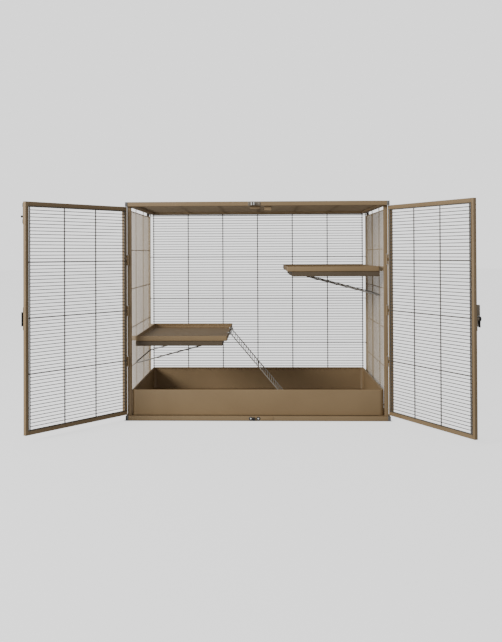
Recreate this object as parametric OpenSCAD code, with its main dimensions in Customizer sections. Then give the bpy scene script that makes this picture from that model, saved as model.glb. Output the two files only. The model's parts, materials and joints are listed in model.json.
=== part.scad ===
// Wire ferret cage with two full-height doors, shown with both doors swung open.
// Origin: middle of the underside of the front bottom rail. X right, Y to the back, Z up.

/* [Cage] */
// Outside width of the front frame
cage_w = 950; // [900:10:1000]
// Outside height of the front frame
cage_h = 786; // [760:2:820]
// Depth from the front of the rails to the back mesh
cage_d = 660; // [655:5:680]

/* [Tubes] */
// Height of the front, base and roof rails
rail = 16; // [15:1:17]
// Depth of the front rails and width of the side base rails
rail_d = 20; // [20:1:21]
// Width of the tubes of the door frames
stile = 14; // [13:1:15]
// Depth of the tubes of the door frames
leaf_t = 12; // [11:1:12]
// Wall thickness of every tube
tube_wall = 1.2; // [1:0.1:1.5]
// Width of the plastic plug that shows at the end of a rail
plug_w = 10; // [8:1:12]

/* [Mesh] */
// Spacing of the fine wires
wire_pitch = 11.25; // [11:0.05:11.4]
// Width of a fine wire
fine_w = 1.9; // [1.2:0.1:2.6]
// Width of a stiffening wire
stiff_w = 4; // [3:0.5:5]
// Thickness of a mesh panel
mesh_t = 2.8; // [2.4:0.2:3]

/* [Doors] */
// Angle of the left door from closed, as shown
left_open = 126; // [90:1:150]
// Angle of the right door from closed, as shown
right_open = 116.5; // [90:0.5:150]
// Gap below a door leaf
door_gap = 2; // [2:0.5:4]
// Gap above a door leaf
door_top_gap = 0.6; // [0.4:0.1:2]
// Gap between the two closed leaves
leaf_gap = 14; // [12:1:15]
// Spacing of the stiffening wires in a door
door_bay = 141; // [136:1:141]

/* [Hinges] */
// Distance of the hinge axis from the side of the leaf
pin_off = 1; // [0.5:0.5:1.5]
// Radius of a hinge pin
pin_r = 2; // [1.8:0.1:2.2]
// Radial play of a pin in its knuckles
play = 0.06; // [0.03:0.01:0.1]
// Spacing of the three hinges of a door
hinge_pitch = 183; // [160:1:200]

/* [Tray] */
// Width of the tray
tray_w = 906; // [890:1:908]
// Depth of the tray
tray_d = 622; // [600:1:622]
// Height of the tray walls
tray_h = 85; // [80:1:88]
// Sheet thickness of the tray and the shelves
sheet = 1.2; // [0.8:0.1:1.5]

/* [Shelves] */
// Width of a shelf
shelf_w = 336; // [330:1:338]
// Depth of a shelf
shelf_d = 575; // [570:1:580]
// Height of the folded lip of a shelf
lip_h = 19; // [15:1:22]
// Floor height of the low left shelf
left_shelf_z = 279; // [278:1:280]
// Floor height of the high right shelf
right_shelf_z = 532; // [500:1:550]

/* [Ladder] */
// Length of the ladder
ladder_len = 361; // [358:1:361]
// Width of the ladder
ladder_w = 180; // [140:1:190]
// Slope of the ladder
ladder_slope = 50; // [48:1:52]
// Spacing of the rungs
rung_pitch = 12.9; // [12:0.1:12.9]

/* [Catches] */
// Height of the mid catch above the base
catch_z = 392; // [360:1:420]
// Radius of the sliding bolt
bolt_r = 3; // [2.5:0.1:3]

/* [Hidden] */

$fn = 48;
tol = 0.02;

// Cage planes
front_y = -rail_d / 2;
back_y = cage_d - rail_d / 2;
half_w = cage_w / 2;
rail_back_y = front_y + rail_d;
back_rail_y = back_y - rail;
roof_rail_z = cage_h - rail;
roof_rail_x = half_w - 8;

// Hinge axis and door leaf, in closed position; the axis is midway between the leaf and the post
leaf_x = half_w - 10;
leaf_back_y = front_y + leaf_t;
axis_x = leaf_x + pin_off;
axis_y = (leaf_back_y + rail_back_y) / 2;
leaf_w = leaf_x - leaf_gap / 2;
leaf_z = rail + door_gap;
leaf_h = cage_h - rail - door_top_gap - leaf_z;
leaf_mid_z = cage_h / 2;

// Mesh planes and wire counts
post_x = half_w - 19;
post_out = half_w - 5;
post_back_y = rail_back_y + rail;
side_x = half_w - 10;
side_y0 = post_back_y + stiff_w / 2;
back_mesh_y = back_y - 3;
edge_w = 2;
mesh_z0 = rail + 6;
back_bay = 151;
back_rows = 66;
door_rows = 64;
back_stiff = [0, 17, 34, 50, 66];
side_stiff_z = [37, 181, 325, 469, 613, 757];
side_n = 27;
side_stiff = [0, 8, 17, 25, side_n];
roof_z = cage_h - 5.5;
roof_x = roof_rail_x - rail - stiff_w / 2;
roof_y0 = rail_back_y + stiff_w / 2;
roof_y1 = back_rail_y - stiff_w / 2;
roof_rows = floor((roof_y1 - roof_y0 - 8) / wire_pitch);

// Tray and shelf places
tray_y0 = rail_back_y + 2;
tray_z0 = rail;
rim_r = 3.5;
runner_w = 16;
shelf_y0 = rail_back_y + 40;
shelf_x1 = 446;
strut_drop = 91;
strut_r = 2.5;
strut_y = [152, 605];

// Ladder pivot
pivot_x = -102;
pivot_z = left_shelf_z + lip_h - 4;
ladder_y = [186, 186 + ladder_w];

// Hinge heights and knuckle sizes
knuckle_r = (rail_back_y - leaf_back_y) / 2 - 0.1;
knuckle_h = 12;
hinge_z = [for (k = [-1:1]) leaf_mid_z + k * hinge_pitch];

// Keeper and catch places, all in the plane of the closed leaves
stile_mid_x = leaf_gap / 2 + stile / 2;
bolt_x = -stile_mid_x;
bolt_y = front_y - 5.5;
bolt_z = leaf_z + leaf_h - 70;
knob_z = bolt_z + 22;
stem_r = 2.2;
stem_seat = 1.2;
screw_r = 1.6;
keeper_screw_x = [-27, 10];
keeper_screw_z = roof_rail_z + rail / 2;
keeper_screw_dz = [-29, 29];

taupe = [0.56, 0.5, 0.41];
zinc = [0.72, 0.72, 0.7];
dark = [0.12, 0.11, 0.1];

// A box from its low corner to its high corner
module block(low, high) {
    translate(low) cube(high - low);
}

// A square or flat tube that runs along X, Y or Z and is open at both ends
module tube(low, high, along) {
    w = tube_wall;
    inset = [for (k = [0:2]) k == along ? -1 : w];
    difference() {
        block(low, high);
        block(low + inset, high - inset);
    }
}

// A flat lattice in the XY plane from its bar centres: xs and ys are lists of [centre, width]
module lattice(xs, ys, t = mesh_t) {
    x_end = len(xs) - 1;
    y_end = len(ys) - 1;
    left = xs[0][0] - xs[0][1] / 2;
    low = ys[0][0] - ys[0][1] / 2;
    right = xs[x_end][0] + xs[x_end][1] / 2;
    high = ys[y_end][0] + ys[y_end][1] / 2;
    linear_extrude(t) difference() {
        translate([left, low]) square([right - left, high - low]);
        for (i = [0:x_end - 1]) for (j = [0:y_end - 1]) {
            x = xs[i][0] + xs[i][1] / 2;
            y = ys[j][0] + ys[j][1] / 2;
            translate([x, y]) square([xs[i + 1][0] - xs[i + 1][1] / 2 - x,
                ys[j + 1][0] - ys[j + 1][1] / 2 - y]);
        }
    }
}

// Bars for lattice(): count + 1 wires from start, stiff where the index is in the list
function rows(start, count, stiff, pitch = wire_pitch) =
    [for (k = [0:count]) [start + k * pitch, len(search(k, stiff)) > 0 ? stiff_w : fine_w]];
function bars(places, w) = [for (p = places) [p, w]];

// A lattice stood upright: across X and up Z, with its front at y
module wall_x(y) {
    translate([0, y + mesh_t, 0]) rotate([90, 0, 0]) children();
}

// A lattice stood upright: along Y and up Z, with its low side at x
module wall_y(x) {
    translate([x, 0, 0]) rotate([90, 0, 90]) children();
}

// Puts a piece of the closed door at the angle shown: side is -1 left, 1 right
module swung(side) {
    turn = side < 0 ? -left_open : right_open;
    translate([side * axis_x, axis_y, 0]) rotate([0, 0, turn])
        translate([-side * axis_x, -axis_y, 0]) children();
}

// Draws a right-hand piece on the side asked for
module on_side(side) {
    mirror([side < 0 ? 1 : 0, 0, 0]) children();
}

// ---- front frame and base ----

module front_rail(z) {
    color(taupe) tube([-half_w + plug_w, front_y, z],
        [half_w - plug_w, rail_back_y, z + rail], 0);
}
module front_top_rail() { front_rail(roof_rail_z); }
module front_bottom_rail() { front_rail(0); }

module post(side) {
    color(taupe) on_side(side)
        tube([post_x, rail_back_y, rail], [post_out, post_back_y, roof_rail_z], 2);
}
module left_post() { post(-1); }
module right_post() { post(1); }

// A cap with a spigot that fills the end of a rail
module plug(z) {
    spigot = tube_wall + 0.2;
    block([half_w - plug_w, front_y, z], [half_w, rail_back_y, z + rail]);
    block([half_w - plug_w - 15, front_y + spigot, z + spigot],
        [half_w - plug_w + 1, rail_back_y - spigot, z + rail - spigot]);
}
module rail_end_plugs() {
    color(dark) for (side = [-1, 1]) for (z = [0, roof_rail_z]) on_side(side) plug(z);
}

module base_rail(side) {
    color(taupe) on_side(side)
        tube([half_w - rail_d, rail_back_y, 0], [half_w, back_rail_y, rail], 1);
}
module left_base_rail() { base_rail(-1); }
module right_base_rail() { base_rail(1); }
module back_base_rail() {
    color(taupe) tube([-half_w, back_rail_y, 0], [half_w, back_y, rail], 0);
}

// An angle strip welded to the inside of each side base rail, which carries the tray
module tray_runners() {
    inner = tray_w / 2 - runner_w;
    outer = half_w - rail_d;
    y0 = rail_back_y + 2;
    y1 = back_rail_y - 2;
    color(taupe) for (side = [-1, 1]) on_side(side) union() {
        block([inner, y0, rail - 2.2], [outer, y1, rail - 0.3]);
        block([outer - 2, y0, 4], [outer, y1, rail - 1]);
    }
}

// ---- roof frame: one tube along each side and one across the back ----

module roof_side_rail(side) {
    color(taupe) on_side(side) tube([roof_rail_x - rail, rail_back_y, roof_rail_z],
        [roof_rail_x, back_rail_y, cage_h], 1);
}
module left_top_rail() { roof_side_rail(-1); }
module right_top_rail() { roof_side_rail(1); }
module back_top_rail() {
    color(taupe) tube([-roof_rail_x, back_rail_y, roof_rail_z], [roof_rail_x, back_y, cage_h], 0);
}

// ---- mesh panels ----

module back_mesh() {
    xs = bars([for (k = [-3:3]) k * back_bay], stiff_w);
    zs = concat([[rail + edge_w / 2, edge_w]], rows(mesh_z0, back_rows, back_stiff),
        [[roof_rail_z - edge_w / 2, edge_w]]);
    color(taupe) wall_x(back_mesh_y) lattice(xs, zs);
}

// The fine upright wires end at the top cross wire; the stiff ones go on up to the roof rail
module side_mesh(side) {
    ys = rows(side_y0, side_n, side_stiff, 2 * wire_pitch);
    zs = concat([[rail + edge_w / 2, edge_w]], bars(side_stiff_z, stiff_w));
    top_z = side_stiff_z[len(side_stiff_z) - 1];
    color(taupe) on_side(side) union() {
        wall_y(side_x) lattice(ys, zs);
        for (k = side_stiff) block([side_x, ys[k][0] - stiff_w / 2, top_z],
            [side_x + mesh_t, ys[k][0] + stiff_w / 2, roof_rail_z]);
    }
}
module left_mesh() { side_mesh(-1); }
module right_mesh() { side_mesh(1); }

module roof_mesh() {
    xs = bars(concat([-roof_x], [for (k = [-2:2]) k * back_bay], [roof_x]), stiff_w);
    ys = concat(rows(roof_y0, roof_rows, [0, 27]), [[roof_y1, stiff_w]]);
    color(taupe) translate([0, 0, roof_z]) lattice(xs, ys);
}

// Bent wire clips that close each back corner, one at each stiff wire of the back panel
module panel_clips() {
    r = mesh_t / 2;
    corner_x = 3 * back_bay + stiff_w / 2;
    clip_x = side_x + r;
    clip_y = back_mesh_y + r;
    side_end_y = side_y0 + side_n * 2 * wire_pitch + stiff_w / 2;
    color(taupe) for (side = [-1, 1]) for (k = back_stiff) on_side(side)
        translate([0, 0, mesh_z0 + k * wire_pitch]) {
            rod([corner_x, clip_y, 0], [clip_x, clip_y, 0], r);
            rod([clip_x, side_end_y, 0], [clip_x, clip_y, 0], r);
            translate([clip_x, clip_y, 0]) sphere(r = r, $fn = 24);
        }
}

// Plastic joiners outside the two back top corners, each with a foot below the roof rail
joiner_y0 = 575;
joiner_foot = 25;
joiner_drop = 13;
module back_corner_joiners() {
    color(dark) for (side = [-1, 1]) on_side(side) union() {
        block([roof_rail_x, joiner_y0, roof_rail_z], [half_w, back_y, cage_h]);
        block([side_x + mesh_t + 0.1, joiner_y0, roof_rail_z - joiner_drop],
            [half_w, joiner_y0 + joiner_foot, roof_rail_z + 1]);
    }
}

// ---- stops and keepers on the front rails ----

// Two tabs welded under the top rail, just behind the closed leaves: [x0, x1, z0] of each
module door_stop_tabs() {
    y = leaf_back_y + mesh_t + 0.4;
    color(taupe) for (span = [[-23, 13, 755], [28, 53, 750]])
        block([span[0], y, span[2]], [span[1], y + 1.5, roof_rail_z]);
}

module bottom_stop_plate() {
    color(taupe) block([14, front_y - 1.5, 3], [56, front_y, rail - 2]);
}

keeper_t = 1.2;
module top_keeper_plate() {
    color(zinc) difference() {
        block([-31, front_y - keeper_t, roof_rail_z + 1], [14, front_y, cage_h - 1]);
        for (x = keeper_screw_x) translate([x, front_y + 1, keeper_screw_z]) rotate([90, 0, 0])
            cylinder(h = 3, r = screw_r + 0.1);
    }
}

// A bent strap that makes a loop in front of the plate
module top_keeper_staple() {
    y1 = front_y - keeper_t;
    gap = bolt_r + 0.8;
    color(zinc) difference() {
        block([bolt_x - gap - 2, bolt_y - gap - 1.6, cage_h - 14], [bolt_x + gap + 2, y1, cage_h - 3]);
        block([bolt_x - gap, bolt_y - gap, cage_h - 15], [bolt_x + gap, y1 + 1, cage_h - 2]);
    }
}

// A pan-head screw through a plate on a front face, at [x, z]
module front_screw(x, z, plate_t) {
    translate([x, front_y - plate_t, z]) rotate([90, 0, 0]) cylinder(h = 1.8, r = screw_r * 2);
    translate([x, front_y, z]) rotate([90, 0, 0]) cylinder(h = plate_t + 0.5, r = screw_r);
}
module top_keeper_screws() {
    color(zinc) for (x = keeper_screw_x) front_screw(x, keeper_screw_z, keeper_t);
}

module bottom_catch_block() {
    color(dark) block([bolt_x - 4, front_y - 6, 1], [bolt_x + 4, front_y, rail - 3]);
}
module bottom_catch_screws() {
    color(zinc) for (x = [bolt_x - 10, bolt_x + 17])
        translate([x, front_y, rail / 2]) rotate([90, 0, 0]) cylinder(h = 2.2, r = 4);
}

// ---- hinges ----

// One knuckle round the pin with a tab that lies on a face; y0, y1 are the tab's span
tab_t = 1.4;
tab_reach = 3.5;
module knuckle(z, h, y0, y1) {
    difference() {
        union() {
            translate([axis_x, axis_y, z]) cylinder(h = h, r = knuckle_r);
            block([axis_x - tab_reach, y0, z], [axis_x + 1, y1, z + h]);
        }
        translate([axis_x, axis_y, z - 1]) cylinder(h = h + 2, r = pin_r + play);
    }
}

// Two knuckles of each hinge are welded to the front of the post
knuckle_gap = 0.3;
module post_knuckles() {
    low = knuckle_gap + knuckle_h / 2;
    color(taupe) for (side = [-1, 1]) on_side(side)
        for (z = hinge_z) for (z0 = [z + low, z - low - knuckle_h])
            knuckle(z0, knuckle_h, rail_back_y - tab_t, rail_back_y);
}

// The middle knuckle of each hinge is welded to the back of the door's hinge stile
module door_knuckles(side) {
    color(taupe) swung(side) on_side(side) for (z = hinge_z)
        knuckle(z - knuckle_h / 2, knuckle_h, leaf_back_y, leaf_back_y + tab_t);
}
module left_door_knuckles() { door_knuckles(-1); }
module right_door_knuckles() { door_knuckles(1); }

module hinge_pins() {
    reach = 1.5 * knuckle_h + knuckle_gap;
    color(zinc) for (side = [-1, 1]) on_side(side)
        for (z = hinge_z) translate([axis_x, axis_y, z]) {
            translate([0, 0, -reach - 1.5]) cylinder(h = 2 * reach + 2.5, r = pin_r);
            translate([0, 0, reach + 0.1]) cylinder(h = 2, r = pin_r + 1.2);
        }
}

// ---- door leaves ----

// A horizontal tube of the leaf, between the two stiles
module leaf_rail(side, z) {
    color(taupe) swung(side) on_side(side)
        tube([leaf_x - leaf_w + stile, front_y, z],
            [leaf_x - stile, leaf_back_y, z + stile], 0);
}
module left_door_top_rail() { leaf_rail(-1, leaf_z + leaf_h - stile); }
module left_door_bottom_rail() { leaf_rail(-1, leaf_z); }
module right_door_top_rail() { leaf_rail(1, leaf_z + leaf_h - stile); }
module right_door_bottom_rail() { leaf_rail(1, leaf_z); }

// An upright tube of the leaf, closed at both ends where it is welded shut
module leaf_stile(side, x) {
    w = tube_wall;
    color(taupe) swung(side) on_side(side) difference() {
        block([x, front_y, leaf_z], [x + stile, leaf_back_y, leaf_z + leaf_h]);
        block([x + w, front_y + w, leaf_z + w],
            [x + stile - w, leaf_back_y - w, leaf_z + leaf_h - w]);
    }
}
module left_door_hinge_stile() { leaf_stile(-1, leaf_x - stile); }
module left_door_free_stile() { leaf_stile(-1, leaf_gap / 2); }
module right_door_hinge_stile() { leaf_stile(1, leaf_x - stile); }
module right_door_free_stile() { leaf_stile(1, leaf_gap / 2); }

// Wire welded to the inside of the leaf; stiffening wires are set out from the free edge
module leaf_mesh(side) {
    free_x = leaf_gap / 2 + stile + 7;
    xs = concat([[leaf_gap / 2 + 11, fine_w]],
        bars([for (k = [0:2]) free_x + k * door_bay], stiff_w), [[leaf_x - 8, stiff_w]]);
    z0 = leaf_z + leaf_h / 2 - door_rows / 2 * wire_pitch;
    color(taupe) swung(side) on_side(side) wall_x(leaf_back_y)
        lattice(xs, rows(z0, door_rows, [0, 16, 32, 48, 64]));
}
module left_door_mesh() { leaf_mesh(-1); }
module right_door_mesh() { leaf_mesh(1); }

// ---- mid catch: keeper on the left leaf, latch on the right leaf ----

plate_t = 2;
module mid_keeper() {
    x0 = -stile_mid_x - 7;
    x1 = -stile_mid_x + 7;
    base_y = front_y - plate_t;
    color(zinc) swung(-1) difference() {
        union() {
            block([x0, base_y, catch_z - 37], [x1, front_y, catch_z + 37]);
            block([x0, front_y - 10, catch_z - 9], [x1, base_y + 1, catch_z + 12]);
        }
        block([x0 + 3, front_y - 8, catch_z - 10], [x1 + 1, base_y, catch_z + 8]);
        for (dz = keeper_screw_dz) translate([-stile_mid_x, front_y + 1, catch_z + dz])
            rotate([90, 0, 0]) cylinder(h = 5, r = screw_r + 0.1);
    }
}
module mid_keeper_screws() {
    color(zinc) swung(-1) for (dz = keeper_screw_dz)
        front_screw(-stile_mid_x, catch_z + dz, plate_t);
}

latch_top = 44;
stud_r = 3;
module latch_base() {
    color(zinc) swung(1) difference() {
        union() {
            block([stile_mid_x - 7, front_y - plate_t, catch_z - 37],
                [stile_mid_x + 7, front_y, catch_z + latch_top]);
            block([stile_mid_x - 6, front_y - 14, catch_z + 15],
                [stile_mid_x + 6, front_y - 1, catch_z + latch_top]);
        }
        translate([stile_mid_x, front_y + 1, catch_z]) rotate([90, 0, 0])
            cylinder(h = 5, r = stud_r + play);
        translate([stile_mid_x, front_y + 1, catch_z - 31]) rotate([90, 0, 0])
            cylinder(h = 5, r = screw_r + 0.1);
    }
}

// The stud that the handle turns on, with a broad bright head
module latch_stud() {
    color(zinc) swung(1) translate([stile_mid_x, front_y, catch_z]) rotate([90, 0, 0]) union() {
        cylinder(h = 18.5, r = stud_r);
        translate([0, 0, 17.3]) cylinder(h = 2, r = 5);
    }
}

module latch_handle() {
    color(dark) swung(1) difference() {
        union() {
            translate([stile_mid_x, front_y - 9, catch_z]) rotate([90, 0, 0])
                cylinder(h = 8, r = 8.5);
            block([stile_mid_x - 4.5, front_y - 17, catch_z - 27],
                [stile_mid_x + 4.5, front_y - 11, catch_z]);
        }
        translate([stile_mid_x, front_y, catch_z]) rotate([90, 0, 0])
            cylinder(h = 30, r = stud_r + play);
    }
}

// The tongue is keyed to the back of the handle's hub
module latch_tongue() {
    color(zinc) swung(1) difference() {
        union() {
            translate([stile_mid_x, front_y - 2.4, catch_z]) rotate([90, 0, 0])
                cylinder(h = 6.6, r = 7);
            block([stile_mid_x - 4, front_y - 6.4, catch_z - 24],
                [stile_mid_x + 4, front_y - 4, catch_z]);
        }
        translate([stile_mid_x, front_y, catch_z]) rotate([90, 0, 0])
            cylinder(h = 30, r = stud_r + play);
    }
}

// ---- barrel bolt at the top of the left leaf ----

module bolt_base() {
    color(zinc) swung(-1) difference() {
        union() {
            block([bolt_x - 7, front_y - 1.2, bolt_z - 2], [bolt_x + 7, front_y, bolt_z + 67]);
            for (dz = [0, 53]) block([bolt_x - 5, front_y - 10, bolt_z + dz],
                [bolt_x + 5, front_y - 1, bolt_z + dz + 12]);
        }
        translate([bolt_x, bolt_y, bolt_z - 5]) cylinder(h = 80, r = bolt_r + play);
    }
}

// The rod is drilled for the stem of the knob
module bolt_rod() {
    color(zinc) swung(-1) difference() {
        translate([bolt_x, bolt_y, bolt_z - 4]) cylinder(h = 69, r = bolt_r);
        translate([bolt_x, bolt_y - bolt_r + stem_seat, knob_z]) rotate([90, 0, 0])
            cylinder(h = 2 * stem_seat, r = stem_r);
    }
}
module bolt_knob() {
    color(dark) swung(-1) translate([bolt_x, bolt_y - bolt_r + stem_seat, knob_z])
        rotate([90, 0, 0]) union() {
            cylinder(h = 6, r = stem_r);
            translate([0, 0, 6]) cylinder(h = 3.2, r = 4);
        }
}

// ---- tray ----

module tray_pan() {
    x = tray_w / 2;
    y1 = tray_y0 + tray_d;
    color(taupe) difference() {
        block([-x, tray_y0, tray_z0], [x, y1, tray_z0 + tray_h]);
        block([-x + sheet, tray_y0 + sheet, tray_z0 + sheet],
            [x - sheet, y1 - sheet, tray_z0 + tray_h + 1]);
    }
}

// The top edge is rolled outwards over a wire: four straight rolls
module tray_rim() {
    x = tray_w / 2;
    y1 = tray_y0 + tray_d;
    z = tray_z0 + tray_h + rim_r;
    color(taupe) {
        for (y = [tray_y0 + rim_r, y1 - rim_r]) translate([-x, y, z]) rotate([0, 90, 0])
            cylinder(h = tray_w, r = rim_r, $fn = 32);
        for (s = [-1, 1]) translate([s * (x - rim_r), tray_y0 + 2 * rim_r + tol, z])
            rotate([-90, 0, 0]) cylinder(h = tray_d - 4 * rim_r - 2 * tol, r = rim_r, $fn = 32);
    }
}

// ---- shelves ----

shelf_x0 = shelf_x1 - shelf_w;
module shelf_pan(side, z) {
    color(taupe) on_side(side) difference() {
        block([shelf_x0, shelf_y0, z], [shelf_x1, shelf_y0 + shelf_d, z + lip_h]);
        block([shelf_x0 + sheet, shelf_y0 + sheet, z + sheet],
            [shelf_x1 - sheet, shelf_y0 + shelf_d - sheet, z + lip_h + 1]);
    }
}
module left_shelf_pan() { shelf_pan(-1, left_shelf_z); }
module right_shelf_pan() { shelf_pan(1, right_shelf_z); }

// Two cross bars and a long bar welded in under the pan, and two plates on upright side wires
bar_t = 18;
bar_w = 12;
bar_in = 4;
hook_t = 3;
hook_rows = [2, 26];
long_bar_x = 128;
arm_tip_x = 192;
module shelf_frame(side, z) {
    y0 = shelf_y0 + bar_in;
    y1 = shelf_y0 + shelf_d - bar_in - bar_w;
    color(taupe) on_side(side) {
        for (y = [y0, y1]) {
            tube([long_bar_x, y, z - bar_t], [shelf_x1, y + bar_w, z], 0);
        }
        for (k = hook_rows) block([shelf_x1, side_y0 + k * 2 * wire_pitch - hook_t / 2, z + 1],
            [side_x, side_y0 + k * 2 * wire_pitch + hook_t / 2, z + lip_h - 1]);
        tube([long_bar_x, y0 + bar_w + tol, z - bar_t], [long_bar_x + bar_w, y1 - tol, z], 1);
    }
}
module left_shelf_frame() { shelf_frame(-1, left_shelf_z); }
module right_shelf_frame() { shelf_frame(1, right_shelf_z); }

// A rod between two points, as a straight cylinder
module rod(a, b, r) {
    d = b - a;
    run = norm(d);
    translate(a) rotate([0, acos(d[2] / run), atan2(d[1], d[0])]) cylinder(h = run, r = r, $fn = 24);
}

// A bail of wire: a bar along the side mesh and two arms up to the long bar of the shelf
module shelf_strut(side, z) {
    wall_x0 = side_x - strut_r - 0.5;
    wall_z = z - strut_drop;
    tip = [arm_tip_x, 0, z - bar_t - strut_r - 1];
    color(taupe) on_side(side) {
        rod([wall_x0, strut_y[0], wall_z], [wall_x0, strut_y[1], wall_z], strut_r);
        for (y = strut_y) rod([wall_x0 - 3 * strut_r, y, wall_z + strut_r - 0.4],
            [tip[0], y, tip[2]], strut_r);
        rod([tip[0] - strut_r - 0.1, strut_y[0] - 6, tip[2] - 0.4],
            [tip[0] - strut_r - 0.1, strut_y[1] + 6, tip[2] - 0.4], strut_r);
    }
}
module left_shelf_strut() { shelf_strut(-1, left_shelf_z); }
module right_shelf_strut() { shelf_strut(1, right_shelf_z); }

// ---- ladder ----

eye_r = 4.2;

// Two strap hooks hang on the lip of the low shelf and hold the pivot bar
module ladder_hooks() {
    lip_x = -shelf_x0;
    lip_z = left_shelf_z + lip_h;
    color(zinc) for (y = [ladder_y[0] - 9, ladder_y[1] + 4]) difference() {
        union() {
            block([lip_x - 4, y, lip_z - 12], [pivot_x + 4, y + 5, lip_z + 3]);
            translate([pivot_x, y + 5, pivot_z]) rotate([90, 0, 0]) cylinder(h = 5, r = 4.5);
        }
        block([lip_x - 2, y - 1, lip_z - 13], [lip_x + 0.1, y + 6, lip_z + 0.1]);
        translate([pivot_x, y + 6, pivot_z]) rotate([90, 0, 0]) cylinder(h = 7, r = pin_r + 0.02);
    }
}
module ladder_pivot_bar() {
    color(zinc) translate([pivot_x, ladder_y[0] - 11, pivot_z]) rotate([-90, 0, 0])
        cylinder(h = ladder_w + 22, r = pin_r);
}

// Places a piece drawn along X from the pivot on the slope of the ladder
module on_slope() {
    translate([pivot_x, 0, pivot_z]) rotate([0, ladder_slope, 0]) children();
}

module ladder() {
    count = floor((ladder_len - 12) / rung_pitch);
    color(taupe) on_slope() translate([0, 0, -1.5])
        lattice([for (k = [0:count]) [9 + k * rung_pitch, 2.4]],
            [[ladder_y[0] + 2, 4], [ladder_y[1] - 2, 4]], 3);
}
module ladder_eyes() {
    color(taupe) on_slope() for (y = [ladder_y[0], ladder_y[1] - 4]) difference() {
        union() {
            translate([0, y + 4, 0]) rotate([90, 0, 0]) cylinder(h = 4, r = eye_r);
            block([0, y, -1.5], [7.8 - tol, y + 4, 1.5]);
        }
        translate([0, y + 5, 0]) rotate([90, 0, 0]) cylinder(h = 6, r = pin_r + play);
    }
}

front_top_rail();
front_bottom_rail();
left_post();
right_post();
rail_end_plugs();
left_base_rail();
right_base_rail();
back_base_rail();
tray_runners();
left_top_rail();
right_top_rail();
back_top_rail();
back_mesh();
left_mesh();
right_mesh();
roof_mesh();
panel_clips();
back_corner_joiners();
door_stop_tabs();
bottom_stop_plate();
top_keeper_plate();
top_keeper_staple();
top_keeper_screws();
bottom_catch_block();
bottom_catch_screws();
post_knuckles();
hinge_pins();
left_shelf_pan();
left_shelf_frame();
left_shelf_strut();
right_shelf_pan();
right_shelf_frame();
right_shelf_strut();
ladder_hooks();
ladder_pivot_bar();
ladder();
ladder_eyes();
tray_pan();
tray_rim();
left_door_top_rail();
left_door_bottom_rail();
left_door_hinge_stile();
left_door_free_stile();
left_door_mesh();
left_door_knuckles();
mid_keeper();
mid_keeper_screws();
bolt_base();
bolt_rod();
bolt_knob();
right_door_top_rail();
right_door_bottom_rail();
right_door_hinge_stile();
right_door_free_stile();
right_door_mesh();
right_door_knuckles();
latch_base();
latch_stud();
latch_handle();
latch_tongue();
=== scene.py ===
import json
import math

import bmesh
import bpy
from mathutils import Matrix, Vector


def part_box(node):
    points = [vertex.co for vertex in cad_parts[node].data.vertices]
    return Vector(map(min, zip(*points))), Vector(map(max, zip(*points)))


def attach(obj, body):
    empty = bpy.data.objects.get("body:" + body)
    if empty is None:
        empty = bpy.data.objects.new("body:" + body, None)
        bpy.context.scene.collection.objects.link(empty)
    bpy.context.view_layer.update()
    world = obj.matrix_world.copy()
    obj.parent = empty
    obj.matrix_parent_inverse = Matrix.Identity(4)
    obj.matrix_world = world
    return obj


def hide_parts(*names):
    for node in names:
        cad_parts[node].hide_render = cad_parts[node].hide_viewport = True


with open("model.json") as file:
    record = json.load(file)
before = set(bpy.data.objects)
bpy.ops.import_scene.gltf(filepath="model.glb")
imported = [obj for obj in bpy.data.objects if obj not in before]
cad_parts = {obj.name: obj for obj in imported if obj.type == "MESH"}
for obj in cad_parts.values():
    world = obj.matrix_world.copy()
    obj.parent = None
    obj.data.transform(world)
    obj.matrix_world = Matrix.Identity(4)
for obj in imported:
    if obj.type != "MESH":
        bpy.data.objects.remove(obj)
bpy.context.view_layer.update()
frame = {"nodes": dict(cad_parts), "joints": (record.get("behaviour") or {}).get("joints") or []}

# ---- Camera ----
# A normal lens about three metres in front of the cage, at three quarters of its height and level
# but for a hair, as the cage was photographed.

eye = (0.0159, -3.0959, 0.5980)
pan_left = 0.0334
tilt_up = 0.0100
roll = -0.0042

lens = bpy.data.cameras.new("camera")
lens.lens = 48.248
lens.sensor_width = 36
lens.shift_x = 0.0289
lens.shift_y = -0.11805
camera = bpy.data.objects.new("camera", lens)
camera.location = eye
aim = Matrix.Rotation(pan_left, 3, "Z") @ Matrix.Rotation(math.pi / 2 + tilt_up, 3, "X")
camera.rotation_euler = (aim @ Matrix.Rotation(roll, 3, "Z")).to_euler()
bpy.context.scene.collection.objects.link(camera)
bpy.context.scene.camera = camera

# ---- Front frame ----
# Two tubes across the front and two thinner posts behind them. Cold-rolled steel tube with rounded
# corners, welded up and then sprayed with taupe powder, baked to a satin skin.

tube_corner = 0.0014
tube_wall = 0.0012
sharp_angle = math.radians(32)


def add_node(tree, kind, inputs=(), **settings):
    """Adds a node. inputs maps a socket's name or number to a value or to another node's output."""
    made = tree.nodes.new(kind)
    for name, value in settings.items():
        setattr(made, name, value)
    for key, value in dict(inputs).items():
        if isinstance(value, bpy.types.NodeSocket):
            tree.links.new(value, made.inputs[key])
        else:
            made.inputs[key].default_value = value
    return made


def blank_finish(name):
    """An empty material, with its tree, its shader and the object's own coordinates."""
    finish = bpy.data.materials.new(name)
    finish.use_nodes = True
    tree = finish.node_tree
    return finish, tree, tree.nodes["Principled BSDF"], add_node(tree, "ShaderNodeTexCoord").outputs["Object"]


def calculate(tree, operation, *values):
    """The output of a Math node."""
    return add_node(tree, "ShaderNodeMath", dict(enumerate(values)), operation=operation).outputs[0]


def noise(tree, place, scale, detail):
    """Soft noise over the object's own coordinates."""
    return add_node(
        tree, "ShaderNodeTexNoise", {"Vector": place, "Scale": scale, "Detail": detail}).outputs["Fac"]


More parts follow.
